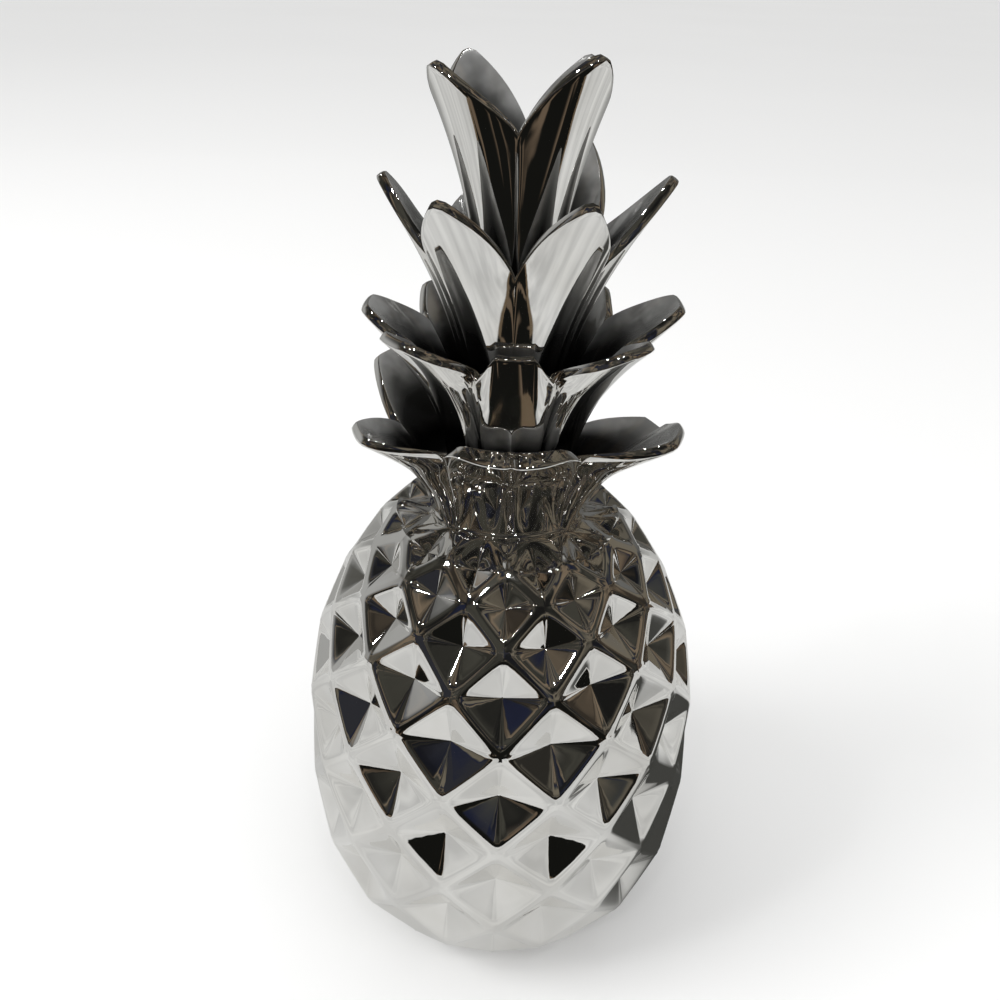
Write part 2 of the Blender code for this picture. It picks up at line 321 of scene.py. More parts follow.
@dataclass(frozen=True)
class TableTop:
    """The lit table that the mirror sees: a pale top with a brown strip along its front.

    The strip is dark in its middle. Painted shade darkens the top towards the back, and a
    painted soft shadow lies to the right of the ornament.
    """

    top: Colour = (0.90, 0.90, 0.885, 1.0)
    shade: Colour = (0.66, 0.66, 0.65, 1.0)
    # painted shade: the colour that the top darkens to towards the back
    far_painted_shade: Colour = (0.40, 0.40, 0.39, 1.0)
    # painted shadow: its colour, place and size on the table top
    shadow: Colour = (0.07, 0.07, 0.065, 1.0)
    shadow_centre: Flat = (0.155, 0.005)
    shadow_half: Flat = (0.165, 0.085)
    shadow_blur: float = 0.7
    strip: Colour = (0.17, 0.125, 0.08, 1.0)
    strip_middle: Colour = (0.012, 0.012, 0.010, 1.0)
    strip_gap: Flat = (0.06, 0.09)
    patch_scale: float = 10.0
    patch_edge: Flat = (0.35, 0.65)
    strip_start: float = -0.35
    strip_blur: float = 0.006
    far_shade_fading: Flat = (0.25, 0.8)

    def material(self) -> bpy.types.Material:
        """Makes the table's matt top.

        Returns:
            The material.
        """
        made, graph = Graph.of_material("table_top")
        where = graph.place()
        aside, depth, _ = graph.axes(where)
        stops = list(zip(self.patch_edge, (self.top, self.shade)))
        patches = graph.ramp(graph.noise(where, self.patch_scale), stops)
        # painted shade: the top grows darker towards the back
        patches = graph.blend(graph.rise(depth, *self.far_shade_fading), patches, self.far_painted_shade)
        # painted shadow: a soft dark ellipse to the right of the ornament
        across = (aside - self.shadow_centre[0]) * (1.0 / self.shadow_half[0])
        along = (depth - self.shadow_centre[1]) * (1.0 / self.shadow_half[1])
        shaded = graph.rise(1.0 - across * across - along * along, 0.0, self.shadow_blur)
        patches = graph.blend(shaded, patches, self.shadow)
        start = self.strip_start
        on_top = graph.rise(depth, start - self.strip_blur, start + self.strip_blur)
        beside = graph.rise(aside * aside, *(end ** 2 for end in self.strip_gap))
        strip = graph.blend(beside, self.strip_middle, self.strip)
        graph.surface({
            "Base Color": graph.blend(on_top, strip, patches),
            "Roughness": 0.9,
            "Specular IOR Level": 0.0,
        })
        return made


class Bench:
    """Modelling steps that every piece uses."""

    GAP: float = 0.00001

    @staticmethod
    def clear_selection() -> None:
        """Leaves object mode with nothing selected."""
        if bpy.context.object is not None and bpy.context.object.mode != "OBJECT":
            bpy.ops.object.mode_set(mode="OBJECT")
        bpy.ops.object.select_all(action="DESELECT")

    @classmethod
    def select(cls, *things: bpy.types.Object) -> None:
        """Selects some objects and makes the first one active.

        Args:
            things: The objects.
        """
        cls.clear_selection()
        for thing in things:
            thing.select_set(True)
        bpy.context.view_layer.objects.active = things[0]

    @classmethod
    def grid(cls, name: str, columns: int, rings: int) -> bpy.types.Object:
        """Adds a square grid, two wide, that a surface is laid on.

        Args:
            name: The piece's name.
            columns: Its faces along X.
            rings: Its faces along Y.

        Returns:
            The grid's object.
        """
        cls.clear_selection()
        bpy.ops.mesh.primitive_grid_add(x_subdivisions=columns, y_subdivisions=rings, size=2.0)
        made = bpy.context.object
        made.name = name
        return made

    @staticmethod
    def lay(sheet: bpy.types.Object, columns: int, rings: int, places: dict) -> list[int]:
        """Moves each corner of a grid to its place.

        Args:
            sheet: The grid.
            columns: Its faces along X.
            rings: Its faces along Y.
            places: The place of each corner by its column and ring.

        Returns:
            The ring of each corner.
        """
        found = []
        for vertex in sheet.data.vertices:
            column = round((vertex.co.x + 1.0) / 2.0 * columns)
            found.append(round((vertex.co.y + 1.0) / 2.0 * rings))
            vertex.co = places[column, found[-1]]
        return found

    @classmethod
    def join(cls, name: str, things: list[bpy.types.Object]) -> bpy.types.Object:
        """Joins objects into one.

        Args:
            name: The name of the joined object and of its mesh.
            things: The objects, which become parts of the first.

        Returns:
            The joined object.
        """
        cls.select(*things)
        bpy.ops.object.join()
        made = bpy.context.object
        made.name = name
        made.data.name = name
        return made

    @classmethod
    def weld(cls, piece: bpy.types.Object) -> None:
        """Merges corners that lie together and turns the faces outwards.

        Args:
            piece: The mesh object.
        """
        cls.select(piece)
        bpy.ops.object.mode_set(mode="EDIT")
        bpy.ops.mesh.select_all(action="SELECT")
        bpy.ops.mesh.remove_doubles(threshold=cls.GAP)
        bpy.ops.mesh.normals_make_consistent(inside=False)
        bpy.ops.object.mode_set(mode="OBJECT")

    @classmethod
    def cap(cls, piece: bpy.types.Object, height: float) -> None:
        """Closes a level opening.

        Args:
            piece: The mesh object.
            height: The height of the opening's edge.
        """
        cls.select(piece)
        bpy.ops.object.mode_set(mode="EDIT")
        bpy.ops.mesh.select_mode(type="VERT")
        bpy.ops.mesh.select_all(action="DESELECT")
        bpy.ops.object.mode_set(mode="OBJECT")
        for vertex in piece.data.vertices:
            vertex.select = abs(vertex.co.z - height) < cls.GAP
        bpy.ops.object.mode_set(mode="EDIT")
        bpy.ops.mesh.edge_face_add()
        bpy.ops.object.mode_set(mode="OBJECT")

    @classmethod
    def unite(cls, target: bpy.types.Object, other: bpy.types.Object) -> None:
        """Makes one closed body of two.

        Args:
            target: The body that stays.
            other: The body that is joined to it and then removed.
        """
        union = target.modifiers.new("join", "BOOLEAN")
        union.operation = "UNION"
        union.solver = "MANIFOLD"
        union.object = other
        cls.select(target)
        bpy.ops.object.modifier_apply(modifier=union.name)
        bpy.data.objects.remove(other, do_unlink=True)

    @classmethod
    def settle(cls, piece: bpy.types.Object, sharp: float) -> None:
        """Puts a piece's place in its mesh and shades it.

        Args:
            piece: The mesh object.
            sharp: The angle up to which an edge is shaded smooth, in radians.
        """
        cls.select(piece)
        bpy.ops.object.transform_apply()
        bpy.ops.object.shade_smooth_by_angle(angle=sharp)


def around(radius: float, turn: float, height: float) -> Vector:
    """A point at a half width, a turn from the front in radians and a height."""
    return Vector((radius * math.sin(turn), -radius * math.cos(turn), height))


def mixed(first: Sequence[float], second: Sequence[float], share: float) -> list[float]:
    """Goes a share of the way from one set of values to another."""
    return [(1.0 - share) * a + share * b for a, b in zip(first, second)]


@dataclass
class Fruit:
    """The fruit: rows of sunken diamond cells between flat-topped ridges.

    Sizes are shares of the unit. The outline is an ellipse above the belly and a fuller
    curve below it. The rows of ridge crossings are found by walking along it, so that the
    cells keep their proportions, and the last rows lie on the level top. top_depths and
    top_widths make the cells of the rows below the collar shallower and their ridges wider.
    """

    unit: float
    half_width: float = 1.01
    belly_height: float = 1.147
    shoulder_rise: float = 1.36
    skirt_drop: float = 1.19
    skirt_fullness: float = 3.4
    columns: int = 12
    first_crossing: float = math.radians(19.3)
    cell_step: float = 0.265
    rows_above: int = 6
    rows_below: int = 8
    walk_step: float = math.radians(0.02)
    top_rows: tuple[Flat, ...] = ((0.37, 2.295), (0.25, 2.29))
    ridge_half_width: float = 0.017
    corner_widening: float = 0.7
    corner_power: int = 8
    cell_depth: float = 0.069
    top_depths: tuple[float, ...] = (0.65, 0.3, 0.12)
    top_widths: tuple[float, ...] = (1.2, 1.5, 1.1)
    ridge_bow: float = 0.004
    along: tuple[float, ...] = (0.0, 0.035, 0.09, 0.25, 0.5, 0.75, 0.91, 0.965, 1.0)
    ridge_flat: float = 0.45
    shoulder_end: float = 0.14
    shoulder: tuple[float, ...] = (0.0, 0.25, 0.5, 0.75, 1.0)
    into_cell: tuple[float, ...] = (0.32, 0.6, 0.85, 0.96, 1.0)
    rows: list[tuple[Flat, Flat]] = field(default_factory=list)

    def profile(self, latitude: float) -> Flat:
        """The fruit's outline.

        Args:
            latitude: The angle from the belly, in radians, which is negative below it.

        Returns:
            The half width and height there, in shares of the unit.
        """
        if latitude >= 0.0:
            return (
                self.half_width * math.cos(latitude),
                self.belly_height + self.shoulder_rise * math.sin(latitude),
            )
        power = 2.0 / self.skirt_fullness
        return (
            self.half_width * math.cos(latitude) ** power,
            self.belly_height - self.skirt_drop * math.sin(-latitude) ** power,
        )

    def outward(self, latitude: float) -> Flat:
        """The direction that points out of the fruit.

        Args:
            latitude: The angle from the belly, in radians.

        Returns:
            Its part away from the axis and its part upwards.
        """
        below = self.profile(latitude - self.walk_step)
        above = self.profile(latitude + self.walk_step)
        rise = Vector((above[0] - below[0], above[1] - below[1])).normalized()
        return rise.y, -rise.x

    def walk(self, direction: int, count: int) -> list[tuple[Flat, Flat]]:
        """Rows of crossings met going one way from the first.

        Args:
            direction: 1 to go up and -1 to go down.
            count: How many rows are wanted.

        Returns:
            For each row, its half width and height and the direction out of the fruit.
        """
        found = []
        latitude = self.first_crossing
        here = start = self.profile(latitude)
        travelled = 0.0
        while len(found) < count:
            latitude += direction * self.walk_step
            there = self.profile(latitude)
            travelled += math.dist(here, there)
            here = there
            if travelled >= self.cell_step * (start[0] + here[0]) / 2.0:
                found.append((here, self.outward(latitude)))
                start = here
                travelled = 0.0
        return found

    def find_rows(self) -> None:
        """Works out all rows of crossings, from the foot to the level top."""
        first = (self.profile(self.first_crossing), self.outward(self.first_crossing))
        found = self.walk(-1, self.rows_below)[::-1] + [first] + self.walk(1, self.rows_above)
        foot = found[0][0][1]
        self.rows = [((radius, height - foot), out) for (radius, height), out in found]
        self.rows[-len(self.top_rows):] = [(seat, (0.0, 1.0)) for seat in self.top_rows]

    def crossing(self, row: int, turn: float) -> tuple[Vector, Vector]:
        """A crossing of ridges.

        Args:
            row: The row's number, from the foot.
            turn: The turn from the front, in radians.

        Returns:
            The crossing's place, in metres, and the direction out of the fruit.
        """
        (radius, height), (out, up) = self.rows[row]
        return around(radius, turn, height) * self.unit, around(out, turn, up)

    def facet_line(
        self, ends: list[tuple[Vector, Vector]], centre: Vector, share: float, width: float
    ) -> list[Vector]:
        """One line of a facet, from the middle of its ridge to the cell's centre.

        Args:
            ends: The crossings at the ridge's two ends.
            centre: The cell's sunken centre.
            share: How far along the ridge the line starts.
            width: The ridge's half width, or 0 for a plain facet with no sunken cell.

        Returns:
            The points of the line.
        """
        (first, first_out), (second, second_out) = ends
        out = first_out.lerp(second_out, share).normalized()
        bow = self.ridge_bow * self.unit * 4.0 * share * (1.0 - share)
        ridge = first.lerp(second, share) + out * bow
        if width == 0.0:
            edge = ridge.lerp(centre, self.ridge_half_width)
        else:
            inward = []
            for place, direction in ends:
                way = centre - place
                way -= direction * way.dot(direction)
                inward.append(way.normalized() * math.sqrt(2.0))
            way = inward[0].lerp(inward[1], share)
            way -= out * way.dot(out)
            near = abs(2.0 * share - 1.0) ** self.corner_power
            widening = 1.0 + self.corner_widening * near
            edge = ridge + way * width * widening
        level = ridge.lerp(edge, self.ridge_flat)
        slope = edge.lerp(centre, self.shoulder_end)
        turned = [
            level.lerp(edge, step).lerp(edge.lerp(slope, step), step) for step in self.shoulder
        ]
        return [ridge] + turned + [edge.lerp(centre, step) for step in self.into_cell]

    def build_cell(self, row: int, part: CellPart) -> bpy.types.Object:
        """One cell of a row, at the row's first place right of the front.

        Args:
            row: The row that its side corners lie in.
            part: How much of it is made.

        Returns:
            The cell's mesh object.
        """
        turn = math.pi / self.columns if row % 2 == 0 else 0.0
        step = math.pi / self.columns
        left = self.crossing(row, turn - step)
        right = self.crossing(row, turn + step)
        top = self.crossing(row + 1, turn) if part is not CellPart.LOWER else None
        bottom = self.crossing(row - 1, turn) if part is not CellPart.UPPER else None
        corners = [left, top, right, bottom]
        width = 0.0
        if part is CellPart.WHOLE:
            width = self.ridge_half_width * self.unit
            middle = sum((place for place, _ in corners), Vector()) / 4.0
            out = sum((direction for _, direction in corners), Vector()).normalized()
            (radius, _), _ = self.rows[row]
            depth = self.cell_depth * math.sqrt(radius / self.half_width)
            first_top = len(self.rows) - 1 - len(self.top_depths)
            if row >= first_top:
                depth *= self.top_depths[row - first_top]
                width *= self.top_widths[row - first_top]
            centre = middle - out * depth * self.unit
        else:
            centre = (left[0] + right[0]) / 2.0
        steps = len(self.along) - 1
        columns = steps * len(part.value)
        rings = len(self.shoulder) + len(self.into_cell)
        places = {}
        for number, facet in enumerate(part.value):
            ends = [corners[facet], corners[(facet + 1) % 4]]
            for step, share in enumerate(self.along):
                line = self.facet_line(ends, centre, share, width)
                for ring, place in enumerate(line):
                    places[number * steps + step, ring] = place
        cell = Bench.grid(f"cell_{row}", columns, rings)
        Bench.lay(cell, columns, rings, places)
        return cell

    def build(self) -> bpy.types.Object:
        """Builds one upright strip of cells, copies it round and closes both ends.

        Returns:
            The fruit's mesh object.
        """
        self.find_rows()
        last = len(self.rows) - 1
        cells = [self.build_cell(0, CellPart.UPPER), self.build_cell(last, CellPart.LOWER)]
        cells += [self.build_cell(row, CellPart.WHOLE) for row in range(1, last)]
        strip = Bench.join("strip", cells)
        Bench.weld(strip)
        strips = [strip]
        for number in range(1, self.columns):
            Bench.select(strip)
            bpy.ops.object.duplicate()
            bpy.ops.transform.rotate(
                value=math.tau * number / self.columns, orient_axis="Z",
                center_override=(0.0, 0.0, 0.0)
            )
            bpy.ops.object.transform_apply()
            strips.append(bpy.context.object)
        fruit = Bench.join("fruit", strips)
        Bench.weld(fruit)
        for (_, height), _ in (self.rows[0], self.rows[last]):
            Bench.cap(fruit, height * self.unit)
        Bench.weld(fruit)
        LOG.info("fruit: %d rows of cells, %d faces", last - 1, len(fruit.data.polygons))
        return fruit


@dataclass
class Collar:
    """The stem that the tiers grow from, and the bead at its foot."""

    unit: float
    sides: int = 64
    bead_radius: float = 0.018
    bead_seat: Flat = (0.357, 2.305)
    bead_sides: int = 14
    stem: tuple[Flat, ...] = (
        (0.28, 2.07), (0.28, 2.45), (0.27, 2.60), (0.22, 3.00), (0.16, 3.38), (0.17, 3.74),
    )

    def build_stem(self) -> bpy.types.Object:
        """Draws the stem up from a disc, ring by ring.

        Returns:
            The stem's mesh object.
        """
        radius, height = self.stem[0]
        Bench.clear_selection()
        bpy.ops.mesh.primitive_circle_add(
            vertices=self.sides, radius=radius * self.unit, fill_type="NGON",
            location=(0.0, 0.0, height * self.unit)
        )
        stem = bpy.context.object
        stem.name = "stem"
        bpy.ops.object.transform_apply()
        bpy.ops.object.mode_set(mode="EDIT")
        bpy.ops.mesh.select_all(action="SELECT")
        for next_radius, next_height in self.stem[1:]:
            rise = (next_height - height) * self.unit
            bpy.ops.mesh.extrude_region_move(TRANSFORM_OT_translate={"value": (0.0, 0.0, rise)})
            share = next_radius / radius
            bpy.ops.transform.resize(value=(share, share, 1.0), center_override=(0.0, 0.0, 0.0))
            radius, height = next_radius, next_height
        bpy.ops.mesh.select_all(action="SELECT")
        bpy.ops.mesh.normals_make_consistent(inside=False)
        bpy.ops.object.mode_set(mode="OBJECT")
        return stem

    def build_bead(self) -> bpy.types.Object:
        """Adds the bead as a thin ring.

        Returns:
            The bead's mesh object.
        """
        radius, height = self.bead_seat
        Bench.clear_selection()
        bpy.ops.mesh.primitive_torus_add(
            major_radius=radius * self.unit, minor_radius=self.bead_radius * self.unit,
            major_segments=2 * self.sides, minor_segments=self.bead_sides,
            location=(0.0, 0.0, height * self.unit)
        )
        bead = bpy.context.object
        bead.name = "bead"
        bpy.ops.object.transform_apply()
        return bead


@dataclass(frozen=True)
class Leaf:
    """One leaf: its turn in degrees, the rise of its tip and how far it reaches.

    blunt is the pair of powers that shape its end, where it differs from the tier's.
    """

    turn: float
    rise: float
    stretch: float
    blunt: Flat | None = None


@dataclass(frozen=True)
class Line:
    """An upright line on a leaf.

    tips are those of the leaf and of the neighbour on this side, and half is the angle
    from the leaf's middle to the seam between the two, in degrees. across runs from -1 to 1
    between the seams, facing from 0 to 1 says how much the line faces the front, and notch
    is the share of its length that is joined to the neighbour.
    """

    tips: tuple[Flat, Flat]
    half: float
    across: float
    facing: float
    notch: float

    @property
    def quarterly(self) -> float:
        """How near the line is to the quarter between front and side, from 0 to 1."""
        return (4.0 * self.facing * (1.0 - self.facing)) ** 2


@dataclass
class Tier:
    """A tier of leaves: a flared cup with a notch between neighbours.

    Sizes are shares of the unit. reach and tip_height place an ordinary tip, and squash draws
    the front and back tips in. lean says how far out and up, between root and tip, the bend
    of a leaf lies, and front_lean and quarter_lean hold where it faces the front or the
    quarter between front and side. Neighbours are joined up to notch, and the hollow behind a
    leaf ends at floor, both as shares of its length. curl folds a leaf's edges in, blunt and
    cut shape its end, press flattens the tier from front to back and lip rolls the front rim
    over. mixing, flatness and pinch shape the faces towards the seams.
    """

    unit: float
    name: str
    leaves: tuple[Leaf, ...]
    reach: float
    squash: float
    tip_height: float
    root: Flat
    lean: Flat
    notch: float
    floor: float
    curl: float
    blunt: Flat
    front_lean: Flat | None = None
    quarter_lean: Flat | None = None
    front_notch: float | None = None
    joined: tuple[tuple[int, float], ...] = ()
    press: Flat = (0.0, 8.0)
    lip: float = 0.0
    mixing: float = 3.0
    flatness: float = 0.0
    pinch: float = 0.0
    squash_power: int = 4
    flatness_power: int = 4
    thickness: float = 0.045
    root_inset: float = 0.13
    root_curl: float = 0.35
    curl_broad: float = 2.5
    curl_tight: float = 10.0
    tight_share: float = 0.6
    leaf_columns: int = 28
    outer_steps: int = 16
    outer_crowding: float = 1.3
    inner_steps: int = 12
    inner_crowding: float = 1.2
    below_rim: float = 0.98
    lip_start: float = 0.66
    lip_dip: float = 0.12
    lip_dip_power: int = 4
    cut: float = 1.12
    rim: tuple[Flat, ...] = (
        (0.03, 0.08), (0.12, 0.14), (0.50, 0.18), (0.88, 0.14), (0.97, 0.08),
    )

    def curve(self, line: Line, tip: Sequence[float], share: float) -> tuple[Flat, Flat]:
        """A point and its direction on the outer face, before it is folded.

        Args:
            line: The line of the leaf that it lies on.
            tip: The half width and height of the line's end.
            share: How far from the root to the tip.

        Returns:
            The half width and height, and the direction that the line goes there.
        """
        leans = mixed(self.lean, self.front_lean or self.lean, line.facing)
        leans = mixed(leans, self.quarter_lean or leans, line.quarterly)
        bend = [a + lean * (b - a) for a, b, lean in zip(self.root, tip, leans)]
        before, after = mixed(self.root, bend, share), mixed(bend, tip, share)
        way = [b - a for a, b in zip(before, after)]
        length = math.hypot(*way)
        return tuple(mixed(before, after, share)), (way[0] / length, way[1] / length)

    def tip(self, leaf: Leaf) -> Flat:
        """Half width and height of a leaf's tip."""
        squashed = self.squash * math.cos(math.radians(leaf.turn)) ** self.squash_power
        return leaf.stretch * self.reach * (1.0 - squashed), self.tip_height + leaf.rise

    def fold(self, across: float) -> float:
        """How far the leaf's face stands in, gently at first and tightly at its edge.

        Args:
            across: From -1 to 1 between the seams.

        Returns:
            The distance, as a share of the curl.
        """
        side = abs(across)
        tight = self.tight_share * side ** self.curl_tight
        return tight + (1.0 - self.tight_share) * side ** self.curl_broad

    def notch_at(self, leaf: Leaf, other: Leaf, half: float, side: float) -> float:
        """How far up the seam between two leaves they are joined.

        Args:
            leaf: The leaf.
            other: Its neighbour on this side.
            half: The angle from the leaf's middle to the seam, in degrees.
            side: 1 for the seam on the side of greater turns, -1 for the other one.

        Returns:
            The share of the leaf's length.
        """
        joined = dict(self.joined).get(leaf.turn if side > 0.0 else other.turn)
        if joined is not None:
            return joined
        if self.front_notch is None:
            return self.notch
        return self.notch + (self.front_notch - self.notch) * self.facing(leaf.turn + side * half)

    @staticmethod
    def facing(turn: float) -> float:
        """How much a place at a turn in degrees faces the front, from 0 to 1."""
        return max(0.0, math.cos(math.radians(turn))) ** 2

    def point(self, line: Line, share: float, lift: float) -> Triple:
        """A point of a leaf.

        Args:
            line: The line of the leaf that it lies on.
            share: The distance along the leaf from its root.
            lift: The height above the outer face, towards the axis.

        Returns:
            The turn as a share of the leaf's half angle, the half width and the height.
        """
        weight = abs(line.across) ** self.mixing / 2.0
        tip = mixed(*line.tips, weight)
        tip[0] *= 1.0 - 2.0 * weight * self.pinch * line.quarterly
        (radius, height), (out, up) = self.curve(line, tip, share)
        (notch_radius, _), _ = self.curve(line, tip, line.notch)
        ramp = self.root_curl + (1.0 - self.root_curl) * min(1.0, 2.0 * share)
        inward = self.curl * self.fold(line.across) * ramp + lift
        turn = line.across * min(radius, notch_radius) / radius
        corner = 1.0 / math.cos(math.radians(line.half) * turn) - 1.0
        flat = 1.0 + self.flatness * corner * (1.0 - share ** self.flatness_power)
        return turn, (radius - up * inward) * flat, height + out * inward

    def edge(self, leaf: Leaf, notch: float, across: float) -> float:
        """Where a leaf ends at a place across it.

        Args:
            leaf: The leaf.
            notch: The share of its length that is joined to the neighbour.
            across: From -1 to 1 between the seams.

        Returns:
            The share of its length at which it ends.
        """
        power, root = leaf.blunt or self.blunt
        free = min(1.0, self.cut * max(0.0, 1.0 - abs(across) ** power)) ** (1.0 / root)
        return notch + (1.0 - notch) * free

    def section(self, leaf: Leaf, other: Leaf, half: float, across: float) -> list[Triple]:
        """The closed section of a leaf at one place across it.

        Args:
            leaf: The leaf.
            other: Its neighbour on this side.
            half: The angle from the leaf's middle to the seam between the two, in degrees.
            across: From -1 to 1 between the seams.

        Returns:
            Its points, each as point() gives one, from the root up the outer face, over the
            rim and down inside.
        """
        tips = (self.tip(leaf), self.tip(other))
        notch = self.notch_at(leaf, other, half, math.copysign(1.0, across))
        edge = self.edge(leaf, notch, across)
        facing = self.facing(leaf.turn + across * half)
        line = Line(tips, half, across, facing, notch)
        lip = self.lip * facing * facing
        dip = self.lip_dip * abs(across) ** self.lip_dip_power * facing
        lip_start = self.lip_start - dip
        points = []
        for step in range(self.outer_steps + 1):
            share = edge * (1.0 - (1.0 - step / self.outer_steps) ** self.outer_crowding)
            swell = max(0.0, (share / edge - lip_start) / (1.0 - lip_start))
            points.append(self.point(line, share, -lip * math.sqrt(swell)))
        for level, stand in self.rim:
            lift = level * (self.thickness + lip) - lip
            turn, *crest = self.point(line, edge, lift)
            _, *below = self.point(line, self.below_rim * edge, lift)
            beyond = stand * self.thickness / math.dist(crest, below)
            points.append((turn, *(a + (a - b) * beyond for a, b in zip(crest, below))))
        for step in range(self.inner_steps + 1):
            crowded = (step / self.inner_steps) ** self.inner_crowding
            points.append(self.point(line, edge + (self.floor - edge) * crowded, self.thickness))
        points.append((across, self.root[0] - self.root_inset, self.root[1]))
        return points

    def build(self) -> bpy.types.Object:
        """Lays a grid round the sections of all leaves.

        Returns:
            The tier's mesh object, with an attribute that marks the inner faces.
        """
        leaves = sorted(self.leaves, key=lambda leaf: leaf.turn % 360.0)
        count = len(leaves)
        columns = count * self.leaf_columns
        rings = self.outer_steps + len(self.rim) + self.inner_steps + 3
        places = {}
        for column in range(columns + 1):
            number = column // self.leaf_columns % count
            across = math.sin(math.pi * (column % self.leaf_columns / self.leaf_columns - 0.5))
            leaf = leaves[number]
            side = 1 if across > 0.0 else -1
            other = leaves[(number + side) % count]
            half = ((other.turn - leaf.turn) * side % 360.0) / 2.0
            points = self.section(leaf, other, half, across)
            for ring in range(rings + 1):
                turn, radius, height = points[ring % rings]
                angle = math.radians(leaf.turn + turn * half)
                pressed = self.press[0] * abs(math.cos(angle)) ** self.press[1]
                radius -= max(0.0, radius - self.root[0]) * pressed
                places[column, ring] = around(radius, angle, height) * self.unit
        tier = Bench.grid(self.name, columns, rings)
        first_inside = self.outer_steps + len(self.rim) + 1
        # the inner faces' marks rise from the rim to 1 at the hollow's end; the plating paints
        # shade by them
        marks = []
        for ring in Bench.lay(tier, columns, rings, places):
            down = min(1.0, (ring - first_inside) / self.inner_steps)
            within = first_inside <= ring < rings
            marks.append(within * (INSIDE_RIM + (1.0 - INSIDE_RIM) * down))
        tier.data.attributes.new(INSIDE, "FLOAT", "POINT").data.foreach_set("value", marks)
        Bench.weld(tier)
        LOG.info("%s: %d leaves, %d faces", self.name, count, len(tier.data.polygons))
        return tier


def crown_tiers(unit: float) -> list[Tier]:
    """Lists the crown's tiers.

    Args:
        unit: The length that the sizes are shares of, in metres.

    Returns:
        The four tiers, from the collar up.
    """
    return [
        Tier(
            unit, "tier_1",
            leaves=(
                Leaf(-19, 0.0, 0.90, (3.0, 1.5)), Leaf(20, 0.0, 0.90, (3.0, 1.5)),
                Leaf(69, 0.03, 1.0), Leaf(112, -0.17, 0.97), Leaf(158, 0.0, 1.0),
                Leaf(-160, 0.0, 1.0), Leaf(-121, 0.12, 0.96), Leaf(-69, -0.01, 0.925),
            ),
            reach=0.82, squash=0.48, tip_height=2.81, root=(0.355, 2.22), lean=(0.034, 0.536),
            notch=0.68, floor=0.52, curl=0.035, blunt=(2.0, 1.5), front_notch=0.93,
            joined=((69, 0.96),), lip=0.06, root_curl=1.0, flatness=1.0, pinch=0.22,
            front_lean=(-0.10, 0.62), quarter_lean=(0.034, 0.45),
        ),
        Tier(
            unit, "tier_2",
            leaves=(
                Leaf(1, -0.11, 0.92, (5.0, 1.0)), Leaf(50, -0.01, 1.02), Leaf(90, 0.045, 1.0),
                Leaf(133, 0.01, 0.83), Leaf(180, 0.0, 0.97), Leaf(-133, 0.0, 0.83),
                Leaf(-90, 0.0, 0.91), Leaf(-50, -0.01, 0.99),
            ),
            reach=0.76, squash=0.53, tip_height=3.33, root=(0.30, 2.60), lean=(0.12, 0.55),
            notch=0.74, floor=0.36, curl=0.06, blunt=(2.4, 1.7), mixing=8.0, flatness=1.0,
        ),
        Tier(
            unit, "tier_3",
            leaves=(
                Leaf(-36, -0.03, 1.165), Leaf(32, -0.02, 1.23), Leaf(87, 0.013, 0.99, (1.3, 1.5)),
                Leaf(146, 0.07, 1.22), Leaf(-160, -0.15, 1.75), Leaf(-91, -0.02, 0.91, (1.3, 1.5)),
            ),
            reach=0.68, squash=0.32, tip_height=3.94, root=(0.23, 3.00), lean=(0.22, 0.50),
            notch=0.58, floor=0.40, curl=0.06, blunt=(1.2, 1.3), cut=1.04, press=(0.85, 6.0),
            front_lean=(0.20, 0.55), front_notch=0.54,
        ),
        Tier(
            unit, "tier_4",
            leaves=(
                Leaf(-61, 0.0, 1.05), Leaf(50, 0.05, 1.04), Leaf(132, 0.0, 1.09),
                Leaf(-141, 0.0, 1.18),
            ),
            reach=0.42, squash=0.0, tip_height=4.41, root=(0.17, 3.38), lean=(0.17, 0.55),
            notch=0.69, floor=0.42, curl=0.045, blunt=(1.1, 1.25), cut=1.06, press=(0.7, 4.0),
        ),
    ]


@dataclass(frozen=True)
class OvalCollar:
    """The collar's plan, which is narrower from front to back than across.

    On the fruit's top, which ends at the height seat, the narrowing sets in between the half
    widths outer and inner. Above the seat it holds up to the height full and is gone at end.
    Nothing below start is moved.
    """

    narrowing: float = 0.25
    inner: float = 0.37
    outer: float = 0.549
    start: float = 1.5
    seat: float = 2.36
    full: float = 2.58
    end: float = 2.84

    @staticmethod
    def step(value: float, low: float, high: float) -> float:
        """A soft step from 0 to 1 as a value goes from low to high."""
        share = min(1.0, max(0.0, (value - low) / (high - low)))
        return share * share * (3.0 - 2.0 * share)

    def squeeze(self, piece: bpy.types.Object, unit: float) -> None:
        """Narrows the fruit's top, the collar and the roots of the lowest leaves.

        Args:
            piece: The whole casting.
            unit: The length that the sizes are shares of, in metres.
        """
        for vertex in piece.data.vertices:
            radius = math.hypot(vertex.co.x, vertex.co.y) / unit
            height = vertex.co.z / unit
            if height < self.start:
                continue
            if height < self.seat:
                share = self.step(radius, self.outer, self.inner)
            else:
                share = self.step(height, self.end, self.full)
            vertex.co.y *= 1.0 - self.narrowing * share


@dataclass
class Ornament:
    """The whole casting."""

    unit: float
    sharp: float = math.radians(35.0)
    silver: MirrorSilver = MirrorSilver()

    def build(self) -> bpy.types.Object:
        """Builds all parts, makes them one body and dresses it.

        Returns:
            The finished piece.
        """
        body = Fruit(self.unit).build()
        collar = Collar(self.unit)
        Bench.unite(body, collar.build_bead())
        Bench.unite(body, collar.build_stem())
        for tier in crown_tiers(self.unit):
            Bench.unite(body, tier.build())
        OvalCollar().squeeze(body, self.unit)
        body.name = "silvered_pineapple"
        body.data.name = body.name
        Bench.settle(body, self.sharp)
        body.data.materials.clear()
        body.data.materials.append(self.silver.material())
        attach(body, BODY)
        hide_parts(NODE)
        LOG.info("%s: %d faces", body.name, len(body.data.polygons))
        return body


